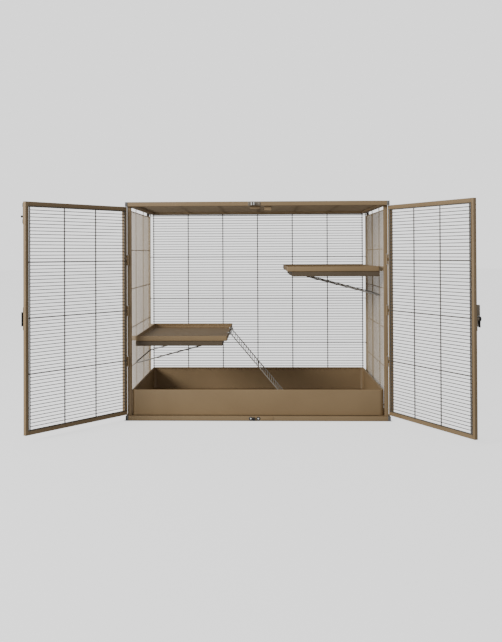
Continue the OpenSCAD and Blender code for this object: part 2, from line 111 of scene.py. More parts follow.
def shade(tree, shader, amount, deep, light, spread):
    """Runs the colour from deep to light while the amount passes over the spread."""
    ramp = add_node(tree, "ShaderNodeValToRGB", {"Fac": amount})
    for stop, position, colour in zip(ramp.color_ramp.elements, spread, (deep, light)):
        stop.position, stop.color = position, (*colour, 1)
    tree.links.new(ramp.outputs["Color"], shader.inputs["Base Color"])


def roughen(tree, shader, patches, first, last):
    """Runs the roughness from first to last over the middle of the patches."""
    sheen = add_node(tree, "ShaderNodeMapRange", {
        "Value": patches, "From Min": 0.3, "From Max": 0.7, "To Min": first, "To Max": last})
    tree.links.new(sheen.outputs["Result"], shader.inputs["Roughness"])


def relief(tree, shader, height, strength, depth):
    """Gives the skin a fine relief."""
    skin = add_node(tree, "ShaderNodeBump", {"Height": height, "Strength": strength, "Distance": depth})
    tree.links.new(skin.outputs["Normal"], shader.inputs["Normal"])


def powder_coat(name, light, deep, gloss, peel):
    """Baked powder: two near shades in soft clouds, a fine grain, and an orange-peel skin."""
    finish, tree, shader, place = blank_finish(name)
    clouds = noise(tree, place, scale=5.0, detail=4.0)
    grain = calculate(tree, "MULTIPLY", noise(tree, place, scale=1400.0, detail=1.0), 0.45)
    shade(tree, shader, calculate(tree, "ADD", clouds, grain), deep, light, spread=(0.45, 0.95))
    roughen(tree, shader, clouds, gloss, gloss + 0.09)
    relief(tree, shader, noise(tree, place, scale=520.0, detail=2.0), peel, depth=0.0004)
    return finish


def rounded_outline(half_a, half_b, radius, steps=4):
    """A rounded rectangle round the origin, anticlockwise."""
    points = []
    for corner in range(4):
        middle_a = (half_a - radius) * (1 if corner in (0, 3) else -1)
        middle_b = (half_b - radius) * (1 if corner in (0, 1) else -1)
        for step in range(steps + 1):
            angle = math.pi / 2 * (corner + step / steps)
            points.append((middle_a + radius * math.cos(angle), middle_b + radius * math.sin(angle)))
    return points


def stood(outline, along, level, centre):
    """The outline in space, square to one axis (0, 1 or 2) and at a level on it."""
    first, second = [axis for axis in range(3) if axis != along]
    ring = []
    for a, b in outline:
        point = Vector(centre)
        point[along] = level
        point[first] += a
        point[second] += b
        ring.append(point)
    return ring


def skin_over(bm, rings, looped=False):
    """Joins ring to ring with faces, and caps both ends unless the rings come round to the first."""
    rows = [[bm.verts.new(point) for point in ring] for ring in rings]
    pairs = list(zip(rows, rows[1:]))
    if looped:
        pairs.append((rows[-1], rows[0]))
    else:
        bm.faces.new(rows[0][::-1])
        bm.faces.new(rows[-1])
    for low, high in pairs:
        for k in range(len(low)):
            after = (k + 1) % len(low)
            bm.faces.new((low[k], low[after], high[after], high[k]))


def square_tube(bm, low, high, along, corner=tube_corner):
    """An open square tube between two corners of its box."""
    centre, half = (Vector(low) + Vector(high)) / 2, (Vector(high) - Vector(low)) / 2
    a, b = [half[axis] for axis in range(3) if axis != along]
    outer = rounded_outline(a, b, corner)
    inner = rounded_outline(a - tube_wall, b - tube_wall, max(corner - tube_wall, tube_wall / 4))
    ends = (low[along], high[along])
    levels = [(outer, ends[0]), (outer, ends[1]), (inner, ends[1]), (inner, ends[0])]
    skin_over(bm, [stood(outline, along, level, centre) for outline, level in levels], looped=True)


def finish_piece(name, shape, body, finish, nodes, turn=None):
    """Makes a piece of a bmesh or mesh, in place, and hangs it on its body for the nodes it stands for."""
    bm = shape
    if isinstance(shape, bpy.types.Mesh):
        bm = bmesh.new()
        bm.from_mesh(shape)
        bpy.data.meshes.remove(shape)
    if turn:
        bm.transform(turn)
    bmesh.ops.recalc_face_normals(bm, faces=bm.faces)
    mesh = bpy.data.meshes.new(name)
    bm.to_mesh(mesh)
    bm.free()
    mesh.shade_smooth()
    mesh.set_sharp_from_angle(angle=sharp_angle)
    mesh.materials.append(finish)
    piece = bpy.data.objects.new(name, mesh)
    bpy.context.scene.collection.objects.link(piece)
    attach(piece, body)
    if nodes:
        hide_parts(*nodes)


tube_coat = powder_coat(
    "taupe_tube_coat", light=(0.325, 0.226, 0.122), deep=(0.278, 0.192, 0.102), gloss=0.40, peel=0.16)


def frame_tubes(*runs):
    """A tube of the cage's frame for each node, along the axis that it runs on."""
    for node, along in runs:
        bm = bmesh.new()
        square_tube(bm, *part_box(node), along)
        finish_piece(f"{node}_tube", bm, "cage", tube_coat, [node])


frame_tubes(("front_top_rail", 0), ("front_bottom_rail", 0), ("left_post", 2), ("right_post", 2))

# ---- Rail end plugs ----
# Moulded plugs of dark grey plastic, pressed into the four ends of the front rails. Each has a
# head as wide as the tube and a ribbed spigot inside it.

edge_steps = 3
plug_head = 0.010
plug_edge = 0.0014
spigot_length = 0.0148
spigot_gap = 0.0014
rib_places = (0.00315, 0.00765, 0.01215)
rib_half = 0.0006
rib_height = 0.0003


def eased_block(bm, low, high, edge, along=2):
    """A solid block with every edge rounded over."""
    centre, half = (Vector(low) + Vector(high)) / 2, (Vector(high) - Vector(low)) / 2
    a, b = [half[axis] for axis in range(3) if axis != along]
    rings = []
    for end in (-1, 1):
        for step in range(edge_steps + 1):
            angle = math.pi / 2 * (step if end < 0 else edge_steps - step) / edge_steps
            inset = edge * (1 - math.sin(angle))
            outline = rounded_outline(a - inset, b - inset, max(edge - inset, edge / 5))
            level = centre[along] + end * (half[along] - edge * (1 - math.cos(angle)))
            rings.append(stood(outline, along, level, centre))
    skin_over(bm, rings)


def moulded_plastic(name, colour, paler, gloss):
    """Matt moulded plastic: a fine spark-eroded grain, with slightly paler rubbed patches."""
    finish, tree, shader, place = blank_finish(name)
    rubs = noise(tree, place, scale=60.0, detail=3.0)
    shade(tree, shader, rubs, colour, tuple(c * paler for c in colour), spread=(0.40, 0.75))
    roughen(tree, shader, rubs, gloss, gloss + 0.12)
    relief(tree, shader, noise(tree, place, scale=1800.0, detail=2.0), strength=0.2, depth=0.0001)
    return finish


grey_plastic = moulded_plastic("dark_grey_plastic", (0.140, 0.137, 0.130), paler=1.35, gloss=0.34)

bm = bmesh.new()
for rail in ("front_top_rail", "front_bottom_rail"):
    low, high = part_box(rail)
    for side in (-1, 1):
        tube_end = high.x if side > 0 else low.x
        parts = [
            (tube_end, tube_end + side * plug_head, 0, plug_edge),
            (tube_end, tube_end - side * spigot_length, spigot_gap, plug_edge / 2)]
        for inward in rib_places:
            rib_x = tube_end - side * inward
            parts.append((rib_x - rib_half, rib_x + rib_half, spigot_gap - rib_height, rib_height))
        for first_x, last_x, gap, edge in parts:
            eased_block(
                bm, (min(first_x, last_x), low.y + gap, low.z + gap),
                (max(first_x, last_x), high.y - gap, high.z - gap), edge, along=0)
finish_piece("rail_end_plugs_moulded", bm, "cage", grey_plastic, ["rail_end_plugs"])

# ---- Base rails, roof rails and runners ----
# Three more tubes lie on the floor and close the base at the sides and the back, and three lighter
# ones do the same round the roof. Two folded steel angles in the base are what the tray slides on.

runner_lip = 0.002
sheet_edge = 0.0006
runner_width = 0.018

frame_tubes(
    ("left_base_rail", 1), ("right_base_rail", 1), ("back_base_rail", 0),
    ("left_top_rail", 1), ("right_top_rail", 1), ("back_top_rail", 0))

low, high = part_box("tray_runners")
bm = bmesh.new()
for side in (-1, 1):
    wall_x = side * high.x
    inner_x = wall_x - side * runner_width
    folded = [
        (wall_x, low.z), (wall_x, high.z), (inner_x, high.z), (inner_x, high.z - runner_lip),
        (wall_x - side * runner_lip, high.z - runner_lip), (wall_x - side * runner_lip, low.z)]
    skin_over(bm, [[(x, y, z) for x, z in folded] for y in (low.y, high.y)])
bmesh.ops.bevel(bm, geom=bm.edges[:], offset=sheet_edge, segments=2, affect="EDGES")
finish_piece("tray_runner_angles", bm, "cage", tube_coat, ["tray_runners"])

# ---- Mesh panels ----
# Back, sides and roof are panels of drawn steel wire: rows of 2.6 mm wire, resistance-welded to 4 mm
# stiffening wires that run the other way and also replace a row here and there. The sides have
# wider pitches and 3.2 mm stiffening wires. The side and roof coats are paler copies of the panels'
# taupe: painted light for the sides lit edge-on and for the roof's underside lit from below.

row_pitch = 0.01125
side_pitch = 0.0225
back_bay = 0.151
first_row = 0.006
edge_row = 0.001
edge_inset = 0.002
back_proud = 0.0002
side_setback = 0.0030
roof_setback = 0.0033
fine_wire = 0.0013
stiff_wire = 0.0020
side_stiff_wire = 0.0016
bead_size = 0.0017
bead_sink = 0.8
wire_lap = 0.0018
tail = 0.0022
KINDS = {"fine": 0, "stiff": 1, "bead": 2}


def blank_tree(name, takes, lengths, counts):
    """An empty geometry tree with named inputs for what it takes, its lengths, counts and coat."""
    tree = bpy.data.node_groups.new(name, "GeometryNodeTree")
    wanted = [(takes, "Geometry")] + [(label, "Float") for label in lengths]
    wanted += [(label, "Int") for label in counts] + [("Coat", "Material")]
    for label, sort in wanted:
        tree.interface.new_socket(label, in_out="INPUT", socket_type=f"NodeSocket{sort}")
    return tree, add_node(tree, "NodeGroupInput").outputs


def give_out(tree, name, geometry, coat):
    """Ends a tree with plain geometry that has its coat on."""
    tree.interface.new_socket(name, in_out="OUTPUT", socket_type="NodeSocketGeometry")
    real = add_node(tree, "GeometryNodeRealizeInstances", {"Geometry": geometry})
    coated = add_node(
        tree, "GeometryNodeSetMaterial", {"Geometry": real.outputs["Geometry"], "Material": coat})
    add_node(tree, "NodeGroupOutput", {name: coated.outputs["Geometry"]})
    return tree


def wire_tree():
    """Stands a wire or a weld bead on every point, as its kind, length and aim say."""
    tree, given = blank_tree(
        "welded_wires", "Stations", ("Fine radius", "Stiff radius", "Bead radius"), ("Sides",))
    kind, length, aim = [
        add_node(tree, "GeometryNodeInputNamedAttribute", {"Name": label}, data_type=sort).outputs["Attribute"]
        for label, sort in (("kind", "INT"), ("length", "FLOAT"), ("aim", "FLOAT_VECTOR"))]
    turned = add_node(tree, "FunctionNodeAlignRotationToVector", {"Vector": aim}, axis="Z")
    stretch = add_node(tree, "ShaderNodeCombineXYZ", {"X": 1.0, "Y": 1.0, "Z": length})
    together = add_node(tree, "GeometryNodeJoinGeometry")
    for name, code in KINDS.items():
        chosen = add_node(tree, "FunctionNodeCompare", {2: kind, 3: code}, data_type="INT", operation="EQUAL")
        if name == "bead":
            shape = add_node(
                tree, "GeometryNodeMeshUVSphere", {"Segments": 8, "Rings": 5, "Radius": given["Bead radius"]})
        else:
            shape = add_node(tree, "GeometryNodeMeshCylinder", {
                "Vertices": given["Sides"], "Depth": 1.0,
                "Radius": given["Fine radius" if name == "fine" else "Stiff radius"]})
        stood_up = add_node(tree, "GeometryNodeInstanceOnPoints", {
            "Points": given["Stations"], "Selection": chosen.outputs["Result"],
            "Instance": shape.outputs["Mesh"], "Rotation": turned.outputs["Rotation"],
            "Scale": stretch.outputs["Vector"]})
        tree.links.new(stood_up.outputs["Instances"], together.inputs["Geometry"])
    return give_out(tree, "Wires", together.outputs["Geometry"], given["Coat"])


def grow(tree, base, **sizes):
    """The plain mesh that a tree makes of a base mesh; an underscore in a size's name is a space."""
    holder = bpy.data.objects.new("holder", base)
    bpy.context.scene.collection.objects.link(holder)
    modifier = holder.modifiers.new("grow", "NODES")
    modifier.node_group = tree
    wanted = {name.replace("_", " "): value for name, value in sizes.items()}
    for item in tree.interface.items_tree:
        if item.in_out == "INPUT" and item.name in wanted:
            modifier[item.identifier] = wanted[item.name]
    evaluated = holder.evaluated_get(bpy.context.evaluated_depsgraph_get())
    grown = bpy.data.meshes.new_from_object(evaluated)
    holder.modifiers.remove(modifier)
    bpy.data.objects.remove(holder)
    bpy.data.meshes.remove(base)
    return grown


def stations(rows):
    """Loose points for wire_tree, from rows of (kind, centre, aim, length)."""
    base = bpy.data.meshes.new("stations")
    base.from_pydata([centre for _, centre, _, _ in rows], [], [])
    for name, sort, key, values in (
            ("kind", "INT", "value", [KINDS[row[0]] for row in rows]),
            ("aim", "FLOAT_VECTOR", "vector", [part for row in rows for part in row[2]]),
            ("length", "FLOAT", "value", [row[3] for row in rows])):
        base.attributes.new(name, sort, "POINT").data.foreach_set(key, values)
    return base


def panel_stations(level, rows, bars, row_axis, bar_axis, row_side, reach, fine_reach=None):
    """Wires of one panel. rows and bars are lists of (place, kind): rows lie side by side along bar_axis.

    level is where the bars' centres lie on the panel's own axis, and row_side says on which side of
    the bars the rows are welded. reach holds the ends of the rows and of the bars, and fine_reach the
    ends of the fine rows where they are shorter.
    """
    through = 3 - row_axis - bar_axis
    found = []

    def at(across, up, off):
        point = Vector((0, 0, 0))
        point[row_axis], point[bar_axis], point[through] = across, up, level + off
        return point

    def along(axis):
        return Vector([float(k == axis) for k in range(3)])

    (row_low, row_high), (bar_low, bar_high) = reach
    off = row_side * wire_lap
    ends = {"stiff": (row_low, row_high), "fine": fine_reach or (row_low, row_high)}
    for up, kind in rows:
        low, high = ends[kind]
        found.append((kind, at((low + high) / 2, up, off), along(row_axis), high - low))
    for across, kind in bars:
        found.append((kind, at(across, (bar_low + bar_high) / 2, 0), along(bar_axis), bar_high - bar_low))
        found += [("bead", at(across, up, off * bead_sink), along(through), 1.0) for up, row_kind in rows
                  if ends[row_kind][0] <= across <= ends[row_kind][1]]
    return found


WIRES = wire_tree()
wire_coat = powder_coat(
    "taupe_wire_coat", light=(0.118, 0.104, 0.086), deep=(0.088, 0.077, 0.063), gloss=0.38, peel=0.08)
# A paler copy of the wire coat: painted light where the lamps catch the side wires edge-on.
painted_light_side_coat = powder_coat(
    "taupe_painted_light_side_wire_coat", light=(0.480, 0.370, 0.235), deep=(0.420, 0.322, 0.205), gloss=0.42, peel=0.08)
# A paler copy of the wire coat: painted light on the roof's underside, as if lit from below.
painted_light_roof_coat = powder_coat(
    "taupe_painted_light_roof_wire_coat", light=(0.370, 0.285, 0.185), deep=(0.320, 0.245, 0.158), gloss=0.42, peel=0.08)


def weld_panel(name, rows, body, node, coat=wire_coat, sizes=(fine_wire, stiff_wire), turn=None):
    """Grows a panel from its stations and puts it in its node's place."""
    grown = grow(
        WIRES, stations(rows), Fine_radius=sizes[0], Stiff_radius=sizes[1], Bead_radius=bead_size,
        Sides=10, Coat=coat)
    finish_piece(name, grown, body, coat, [node], turn)


def numbered(start, count, stiff, pitch=row_pitch):
    """Places of count + 1 rows from start, each fine unless its number is in the stiff list."""
    return [(start + k * pitch, "stiff" if k in stiff else "fine") for k in range(count + 1)]


back_low, back_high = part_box("back_mesh")
side_low, side_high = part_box("right_mesh")
roof_low, roof_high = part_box("roof_mesh")
rail_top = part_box("front_bottom_rail")[1].z
roof_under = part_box("back_top_rail")[0].z
back_stiff = (0, 17, 34, 50, 66)
back_rows = numbered(rail_top + first_row, back_stiff[-1], back_stiff)
back_edges = [(rail_top + edge_row, "fine"), (roof_under - edge_row, "fine")]
back_bars = [(k * back_bay, "stiff") for k in range(-3, 4)]
back_plane = back_high.y - stiff_wire + back_proud
weld_panel("back_panel_wires", panel_stations(
    back_plane, back_rows + back_edges, back_bars, 0, 2, -1,
    reach=((back_low.x - tail, back_high.x + tail), (rail_top, roof_under))), "cage", "back_mesh")

# The fine upright wires of a side end at its top cross wire; the stiff ones go on up to the roof rail.
side_stiff_z = (0.037, 0.181, 0.325, 0.469, 0.613, 0.757)
side_stiff = (0, 8, 17, 25, 27)
side_rows = numbered(side_low.y + edge_inset, side_stiff[-1], side_stiff, side_pitch)
for side, node in ((-1, "left_mesh"), (1, "right_mesh")):
    level = side * (side_low.x + side_setback)
    crossing = [(rail_top + edge_row, "fine")] + [(z, "stiff") for z in side_stiff_z]
    top_z = side_stiff_z[-1] + tail
    tall = [row for row in side_rows if row[1] == "stiff"]
    wires = panel_stations(
        level, side_rows, crossing, 2, 1, -side, ((rail_top, top_z), (side_low.y, side_high.y + tail)))
    wires += panel_stations(level, tall, [], 2, 1, -side, ((top_z, roof_under), (0, 0)))
    weld_panel(f"{node[:-5]}_panel_wires", wires, "cage", node, painted_light_side_coat, (fine_wire, side_stiff_wire))

roof_count = 54
roof_stiff = (0, 27)
roof_rows = numbered(roof_low.y + edge_inset, roof_count, roof_stiff) + [(roof_high.y - edge_inset, "stiff")]
roof_bars = [(side * (roof_high.x - edge_inset), "stiff") for side in (-1, 1)] + back_bars[1:-1]
weld_panel("roof_panel_wires", panel_stations(
    roof_low.z + roof_setback, roof_rows, roof_bars, 0, 1, -1,
    reach=((roof_low.x, roof_high.x), (roof_low.y, roof_high.y))), "cage", "roof_mesh", painted_light_roof_coat)

# ---- Panel clips and corner joiners ----
# Bent lengths of wire hook the back panel round the last wire of each side. Two black plastic
# joiners sit over the roof rails at the back, each with a foot that comes down past the rail.

clip_wire = 0.0013
clip_bend = 0.004
clip_hook = 0.0048
clip_lap = 0.006
joiner_edge = 0.0014
joiner_foot = 0.025
joiner_lap = 0.002
joiner_gap = 0.0001
rib_stand = 0.0006
rib_thick = 0.003
rib_starts = (0.032, 0.041, 0.050, 0.059)


def bend_tree():
    """Turns the edges of a mesh into round wire with rounded bends."""
    tree, given = blank_tree("bent_wire", "Lines", ("Wire radius", "Bend radius"), ("Sides", "Bend steps"))
    line = add_node(tree, "GeometryNodeMeshToCurve", {"Mesh": given["Lines"]})
    bent = add_node(tree, "GeometryNodeFilletCurve", {
        "Curve": line.outputs["Curve"], "Count": given["Bend steps"], "Radius": given["Bend radius"],
        "Limit Radius": True}, mode="POLY")
    circle = add_node(
        tree, "GeometryNodeCurvePrimitiveCircle", {"Resolution": given["Sides"], "Radius": given["Wire radius"]})
    drawn = add_node(tree, "GeometryNodeCurveToMesh", {
        "Curve": bent.outputs["Curve"], "Profile Curve": circle.outputs["Curve"], "Fill Caps": True})
    return give_out(tree, "Wire", drawn.outputs["Mesh"], given["Coat"])


BENDS = bend_tree()


def bend_wires(lines, radius, bend, coat, closed=False, sides=12):
    """Grows one round wire along each list of points."""
    points, edges = [], []
    for line in lines:
        first = len(points)
        points += [tuple(point) for point in line]
        edges += [(k, k + 1) for k in range(first, len(points) - 1)]
        if closed:
            edges.append((len(points) - 1, first))
    base = bpy.data.meshes.new("lines")
    base.from_pydata(points, edges, [])
    return grow(
        BENDS, base, Wire_radius=radius, Bend_radius=bend, Sides=sides, Bend_steps=5, Coat=coat)


clip_lines = []
hook_y = side_high.y - edge_inset - clip_bend
for z in [back_rows[k][0] for k in back_stiff]:
    for side in (-1, 1):
        hook_x = side * (side_low.x + clip_hook)
        clip_lines.append([
            (side * (back_high.x - clip_lap), back_plane, z), (hook_x, back_plane, z),
            (hook_x, hook_y, z), (side * (side_low.x - side_setback), hook_y, z)])
finish_piece(
    "panel_clip_wires", bend_wires(clip_lines, clip_wire, clip_bend, wire_coat), "cage", wire_coat,
    ["panel_clips"])

black_plastic = moulded_plastic("black_plastic", (0.022, 0.021, 0.020), paler=1.8, gloss=0.36)
low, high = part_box("back_corner_joiners")
rail_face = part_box("right_top_rail")[1].x
bm = bmesh.new()
for side in (-1, 1):
    bodies = [
        ((rail_face, low.y, roof_under), (high.x - rib_stand, high.y, high.z)),
        ((side_high.x + joiner_gap, low.y, low.z),
         (high.x - rib_stand, low.y + joiner_foot, roof_under + joiner_lap))]
    bodies += [
        ((high.x - rib_thick, low.y + start, roof_under + joiner_lap),
         (high.x, low.y + start + rib_thick, high.z - joiner_lap)) for start in rib_starts]
    for body_low, body_high in bodies:
        ends = sorted((side * body_low[0], side * body_high[0]))
        edge = min(joiner_edge, (body_high[1] - body_low[1]) / 3)
        eased_block(bm, (ends[0], *body_low[1:]), (ends[1], *body_high[1:]), edge, along=1)
finish_piece("back_corner_joiners_moulded", bm, "cage", black_plastic, ["back_corner_joiners"])

# ---- Shelves ----
# Two folded sheet-steel pans, one low on the left and one high on the right, with a hemmed lip all
# round. Square tube is welded under each, and two plates at its outer side bear on side-panel wires.

sheet = 0.0012
pan_corner = 0.004
pan_fold = 0.003
hem_drop = 0.007
bar_width = 0.012
bar_height = 0.018
bar_inset = 0.004
bar_corner = 0.0016
long_bar = 0.018
hook_plate = 0.003
hook_edge = 0.0009
hook_gap = 0.001
hook_rows = (2, 26)
SIDES = ((-1, "left"), (1, "right"))

sheet_coat = powder_coat(
    "taupe_sheet_coat", light=(0.325, 0.222, 0.114), deep=(0.278, 0.188, 0.095), gloss=0.44, peel=0.13)
# A darker copy of the frame's taupe on the bars under the pans: painted shade from the pans above.
painted_shade_bar_coat = powder_coat(
    "taupe_painted_shade_bar_coat", light=(0.130, 0.095, 0.058), deep=(0.100, 0.072, 0.043), gloss=0.40, peel=0.16)


def pan_rings(low, high, profile, corner, steps=4):
    """Rings of a tray with rounded corners: profile is a list of (inset from the outside, height)."""
    centre, half = (low + high) / 2, (high - low) / 2
    return [
        stood(rounded_outline(half.x - inset, half.y - inset, max(corner - inset, sheet_edge), steps), 2, z, centre)
        for inset, z in profile]


def arc(middle, radius, start, stop, steps):
    """Points of an arc in a profile, angles in degrees from the inward side."""
    turn = [math.radians(start + (stop - start) * k / steps) for k in range(steps + 1)]
    return [(middle[0] + radius * math.cos(a), middle[1] + radius * math.sin(a)) for a in turn]


def hemmed_pan(bm, low, high, corner):
    """A sheet pan whose lip is folded back inside on itself."""
    foot, top = (pan_fold, low.z + pan_fold), high.z
    profile = [
        *arc(foot, pan_fold, 270, 180, 4), *arc((sheet, top - sheet), sheet, 180, 0, 6),
        (2 * sheet, top - hem_drop), *arc((1.5 * sheet, top - hem_drop), 0.5 * sheet, 0, -180, 3)[1:],
        *arc(foot, pan_fold - sheet, 180, 270, 4)]
    skin_over(bm, pan_rings(low, high, profile, corner))


for side, name in SIDES:
    low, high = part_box(f"{name}_shelf_pan")
    bm = bmesh.new()
    hemmed_pan(bm, low, high, pan_corner)
    finish_piece(f"{name}_shelf_sheet", bm, "cage", sheet_coat, [f"{name}_shelf_pan"])

    outer, inner = (high.x, low.x) if side > 0 else (low.x, high.x)
    bar_z = (low.z - bar_height, low.z)
    long_x = sorted((inner + side * long_bar, inner + side * (long_bar + bar_width)))
    cross_x = sorted((inner + side * long_bar, outer))
    plate_x = sorted((outer, side * side_low.x))
    bm = bmesh.new()
    near, far = low.y + bar_inset, high.y - bar_inset - bar_width
    for y in (near, far):
        square_tube(bm, (cross_x[0], y, bar_z[0]), (cross_x[1], y + bar_width, bar_z[1]), 0, bar_corner)
    square_tube(bm, (long_x[0], near + bar_width, bar_z[0]), (long_x[1], far, bar_z[1]), 1, bar_corner)
    plates = bmesh.new()
    for k in hook_rows:
        y = side_rows[k][0] - hook_plate / 2
        eased_block(
            plates, (plate_x[0], y, low.z + hook_gap), (plate_x[1], y + hook_plate, high.z - hook_gap), hook_edge,
            along=1)
    finish_piece(f"{name}_shelf_bars", bm, "cage", painted_shade_bar_coat, [f"{name}_shelf_frame"])
    finish_piece(f"{name}_shelf_plates", plates, "cage", painted_light_side_coat, [])

# ---- Shelf struts ----
# One bail of 5 mm wire under each shelf: it lies along the side panel, and its two arms rise inwards
# to bear on the long bar. Bent from a single length, welded shut, and coated a shade greyer.

strut_wire = 0.0025
strut_bend = 0.014
strut_reach = 0.018
strut_end = 0.009
strut_inset = 0.006
arm_tip = 0.192

strut_coat = powder_coat(
    "grey_strut_coat", light=(0.340, 0.315, 0.275), deep=(0.290, 0.268, 0.232), gloss=0.34, peel=0.10)

for side, name in SIDES:
    low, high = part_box(f"{name}_shelf_strut")
    wall_x = side * (side_low.x - side_setback)
    foot_z, head_z = low.z + strut_wire, high.z - strut_wire
    near, far = low.y + strut_inset + strut_wire, high.y - strut_inset - strut_wire
    foot_x = wall_x - side * strut_end
    bail = [
        (side * arm_tip, near, head_z), (foot_x, near, foot_z), (wall_x, near + strut_reach, foot_z),
        (wall_x, far - strut_reach, foot_z), (foot_x, far, foot_z), (side * arm_tip, far, head_z)]
    grown = bend_wires([bail], strut_wire, strut_bend, strut_coat, closed=True)
    finish_piece(f"{name}_shelf_bail", grown, "cage", strut_coat, [f"{name}_shelf_strut"])

# ---- Ladder ----
# Two rails of 3.8 mm wire with thin rungs welded across them, made as one strip. Each rail ends in an
# eye on a steel bar, which two plated hooks hold on the lip of the low shelf.

ladder_slope = math.radians(50)
rail_wire = 0.0019
rail_inset = 0.002
rail_start = 0.0045
rung_wire = 0.0012
rung_pitch = 0.0129
rung_start = 0.009
rung_count = 28
eye_radius = 0.0042
eye_play = 0.00006
eye_width = 0.004
pin_radius = 0.002
pin_edge = 0.0005
bush_edge = 0.0004


def zinc_plate(name, roughness, dull, bright, metal):
    """Zinc over steel: faint spangle and duller patches."""
    finish, tree, shader, place = blank_finish(name)
    shader.inputs["Metallic"].default_value = metal
    patches = noise(tree, place, scale=90.0, detail=3.0)
    shade(tree, shader, patches, dull, bright, spread=(0.35, 0.70))
    roughen(tree, shader, patches, roughness + 0.12, roughness)
    spangle = add_node(tree, "ShaderNodeTexVoronoi", {"Vector": place, "Scale": 700.0})
    relief(tree, shader, spangle.outputs["Distance"], strength=0.08, depth=0.0001)
    return finish


def turned_piece(bm, profile, base, axis, sides=24, looped=False):
    """A piece turned round an axis: profile is a list of (radius, height above base)."""
    up = Vector(axis).normalized()
    across = up.orthogonal().normalized()
    beside = up.cross(across)
    angles = [2 * math.pi * k / sides for k in range(sides)]
    skin_over(bm, [
        [Vector(base) + up * height + (across * math.cos(a) + beside * math.sin(a)) * radius for a in angles]
        for radius, height in profile], looped)


def eased_rod(bm, base, axis, radius, length, edge):
    """A round bar with both ends chamfered."""
    profile = [(radius - edge, 0), (radius, edge), (radius, length - edge), (radius - edge, length)]
    turned_piece(bm, profile, base, axis)


def ring_round(bm, base, axis, bore, outside, length):
    """A plain bush: a bored cylinder with small chamfers."""
    edge = min(bush_edge, (outside - bore) / 4)
    profile = [
        (bore, 0), (outside - edge, 0), (outside, edge), (outside, length - edge),
        (outside - edge, length), (bore, length)]
    turned_piece(bm, profile, base, axis, sides=28, looped=True)


zinc = zinc_plate(
    "bright_zinc", roughness=0.24, dull=(0.60, 0.60, 0.585), bright=(0.76, 0.755, 0.735), metal=1.0)
ladder_coat = powder_coat(
    "grey_ladder_coat", light=(0.360, 0.330, 0.285), deep=(0.300, 0.272, 0.232), gloss=0.30, peel=0.06)
joints = {joint["name"]: joint for joint in frame["joints"]}
pivot = Vector(joints["ladder_swing"]["pos_m"])
ladder_low, ladder_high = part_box("ladder")
downhill = Vector((math.cos(ladder_slope), 0, -math.sin(ladder_slope)))
uphill_side = Vector((math.sin(ladder_slope), 0, math.cos(ladder_slope)))
rail_y = (ladder_low.y + rail_inset, ladder_high.y - rail_inset)
rail_end = rung_start + (rung_count - 1) * rung_pitch + rung_wire
rails = bend_wires(
    [[Vector((pivot.x, y, pivot.z)) + downhill * reach for reach in (rail_start, rail_end)] for y in rail_y],
    rail_wire, 0.0, ladder_coat)
rungs = bend_wires(
    [[Vector((pivot.x, y, pivot.z)) + downhill * (rung_start + k * rung_pitch) + uphill_side * rung_wire
      for y in (ladder_low.y, ladder_high.y)] for k in range(rung_count)], rung_wire, 0.0, ladder_coat, sides=8)
bm = bmesh.new()
for grown in (rails, rungs):
    bm.from_mesh(grown)
    bpy.data.meshes.remove(grown)
finish_piece("ladder_wires", bm, "ladder", ladder_coat, ["ladder"])

bm = bmesh.new()
for y in rail_y:
    ring_round(
        bm, (pivot.x, y - eye_width / 2, pivot.z), (0, 1, 0), pin_radius + eye_play, eye_radius, eye_width)
finish_piece("ladder_eye_loops", bm, "ladder", ladder_coat, ["ladder_eyes"])

low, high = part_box("ladder_pivot_bar")
bm = bmesh.new()
eased_rod(bm, (pivot.x, low.y, pivot.z), (0, 1, 0), pin_radius, high.y - low.y, pin_edge)
finish_piece("ladder_pivot_rod", bm, "cage", zinc, ["ladder_pivot_bar"])

hook_low, hook_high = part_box("ladder_hooks")
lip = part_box("left_shelf_pan")[1]
strap = 0.0018
hook_width = 0.005
hook_round = 0.0045
lip_back = lip.x - 0.0038
hook_straps = (
    (lip_back, lip_back + strap, lip.z - 0.011, lip.z + 0.0026, 2),
    (lip_back, pivot.x + 0.0040, lip.z + 0.0004, lip.z + 0.0028, 0),
    (lip.x + 0.0003, lip.x + 0.0003 + strap, pivot.z + 0.0010, lip.z + 0.0020, 2),
    (pivot.x + 0.0020, pivot.x + 0.0020 + strap, pivot.z + 0.0010, lip.z + 0.0024, 2))
bm = bmesh.new()
for y in (hook_low.y, hook_high.y - hook_width):
    for first_x, last_x, first_z, last_z, along in hook_straps:
        eased_block(bm, (first_x, y, first_z), (last_x, y + hook_width, last_z), sheet_edge, along=along)
    ring_round(bm, (pivot.x, y, pivot.z), (0, 1, 0), pin_radius + 0.00002, hook_round, hook_width)
finish_piece("ladder_strap_hooks", bm, "cage", zinc, ["ladder_hooks"])

# ---- Tray ----
# A deep pan pressed and folded from one steel sheet, with rounded upright corners. Its top edge is
# rolled over all round. It stands on the runners and pulls out over the bottom rail.

roll_radius = 0.0035
roll_drop = 0.00385
tray_corner = 0.018
tray_spare = 0.0022
tray_fold = 0.0018
roll_start = 180
roll_stop = -131

low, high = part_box("tray_pan")
low.x, high.x = low.x - tray_spare, high.x + tray_spare
rim_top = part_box("tray_rim")[1].z
roll_z = rim_top - roll_radius
profile = [
    *arc((tray_fold, low.z + tray_fold), tray_fold, 270, 180, 4),
    *arc((roll_radius, roll_z), roll_radius, roll_start, roll_stop, 16),
    (sheet, roll_z - roll_drop),
    *arc((tray_fold, low.z + tray_fold), tray_fold - sheet, 180, 270, 4)]
bm = bmesh.new()
skin_over(bm, pan_rings(low, high, profile, tray_corner, steps=6))
finish_piece("tray_sheet", bm, "tray", sheet_coat, ["tray_pan", "tray_rim"])

